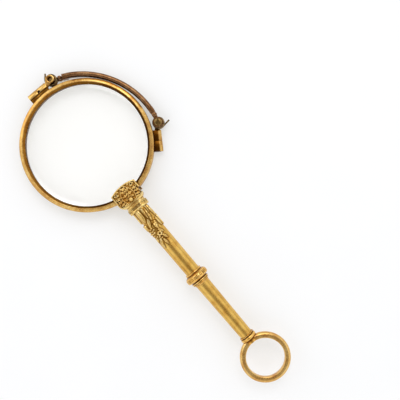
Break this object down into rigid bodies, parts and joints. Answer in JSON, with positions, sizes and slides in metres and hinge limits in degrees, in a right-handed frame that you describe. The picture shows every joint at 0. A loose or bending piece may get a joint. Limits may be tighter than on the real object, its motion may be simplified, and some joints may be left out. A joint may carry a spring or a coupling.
{
  "type": "lorgnette",
  "caption": "Gold folding lorgnette: two stacked round lenses joined by a sprung bow, on a carved tubular handle with a suspension ring.",
  "frame": {"origin": "centre of the suspension ring's bore", "axes": "+Y from the ring along the handle to the lenses, +Z out of the carved front, +X to the side of the bow"},
  "size_m": [0.0428, 0.1117, 0.0084],
  "materials": {
    "satin_gold": "satin, fine lengthwise brushing",
    "carved_gold": "chased and carved, darker in the hollows",
    "polished_gold": "polished, lightly worn",
    "red_gold": "polished, toned reddish brown",
    "spring_steel": "toned grey-brown spring and screw metal",
    "lens_glass": "clear, polished"
  },
  "bodies": {
    "handle_and_fixed_eye": {"head_front": "carved_gold", "head_back": "carved_gold", "neck_collar": "carved_gold", "upper_stem": "satin_gold", "leaf_relief": "carved_gold", "middle_knop": "carved_gold", "lower_stem": "satin_gold", "end_collar": "carved_gold", "suspension_ring": "polished_gold", "fixed_rim": "polished_gold", "fixed_lens": "lens_glass", "fixed_joint_left": "polished_gold", "fixed_joint_right": "polished_gold", "fixed_joint_screw": "spring_steel", "fixed_hinge_screw": "polished_gold", "fixed_hinge_spring": "spring_steel", "catch_pivot_pin": "spring_steel", "catch_spring": "spring_steel"},
    "bow": {"bow_bar": "red_gold", "bow_end_upper": "red_gold", "bow_end_lower": "red_gold"},
    "folding_eye": {"folding_rim": "polished_gold", "folding_lens": "lens_glass", "folding_joint_left": "polished_gold", "folding_joint_right": "polished_gold", "folding_joint_screw": "spring_steel", "folding_hinge_screw": "polished_gold", "folding_hinge_spring": "spring_steel", "catch_stud": "polished_gold"},
    "button": {"release_button": "carved_gold"},
    "catch": {"catch_lever": "polished_gold"}
  },
  "joints": [
    {"name": "bow_swing", "type": "hinge", "parent": "handle_and_fixed_eye", "child": "bow", "pos_m": [0.00425, 0.10188, -0.00245], "axis": [0, 0, 1], "range_deg": [0, 95]},
    {"name": "lens_swing", "type": "hinge", "parent": "bow", "child": "folding_eye", "pos_m": [0.02025, 0.07205, -0.00245], "axis": [0, 0, 1], "range_deg": [0, 95]},
    {"name": "button_press", "type": "slide", "parent": "handle_and_fixed_eye", "child": "button", "axis": [0, 0, -1], "range_m": [-0.0003, 0.0003], "stiffness_N_per_m": 200},
    {"name": "catch_rock", "type": "hinge", "parent": "handle_and_fixed_eye", "child": "catch", "pos_m": [0.0013, 0.05975, -0.00045], "axis": [0, -1, 0], "range_deg": [-12, 12]}
  ],
  "couplings": [
    {"joint": "lens_swing", "follows": "bow_swing", "ratio": 1},
    {"joint": "catch_rock", "follows": "button_press", "rad_per_m": 698.03}
  ]
}
